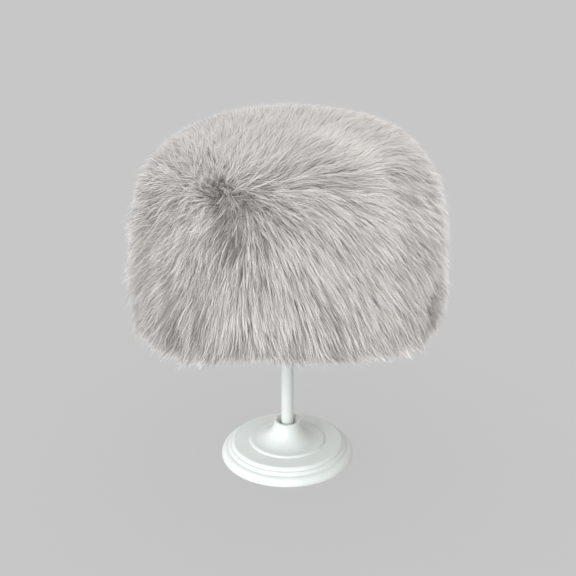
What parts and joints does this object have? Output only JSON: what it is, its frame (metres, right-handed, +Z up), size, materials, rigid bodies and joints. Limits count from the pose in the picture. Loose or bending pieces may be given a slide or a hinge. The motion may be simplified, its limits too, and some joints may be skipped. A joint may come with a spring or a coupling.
{
  "type": "faux fur hat on a display stand",
  "caption": "Round brimless hat of long-pile faux fur, a flat top panel sewn on a deep side band, held up on a turned display stand with a stepped foot and a slim post.",
  "frame": {"origin": "middle of the flat underside of the stand's foot, on the surface that it stands on", "axes": "+Z up along the stand's post, -Y the front of the hat, +X to the right as the front is looked at"},
  "size_m": [0.2725, 0.2726, 0.3079],
  "materials": {
    "white_plastic": "satin white moulded plastic",
    "backing_cloth": "woven backing of the faux fur",
    "grey_fur": "long soft pile, light warm grey, darker at the roots"
  },
  "bodies": {
    "root": {"stand_base": "white_plastic", "stand_post": "white_plastic", "stand_head": "white_plastic", "side_band": "backing_cloth", "top_panel": "backing_cloth", "side_fur": "grey_fur", "top_fur": "grey_fur"}
  },
  "joints": []
}
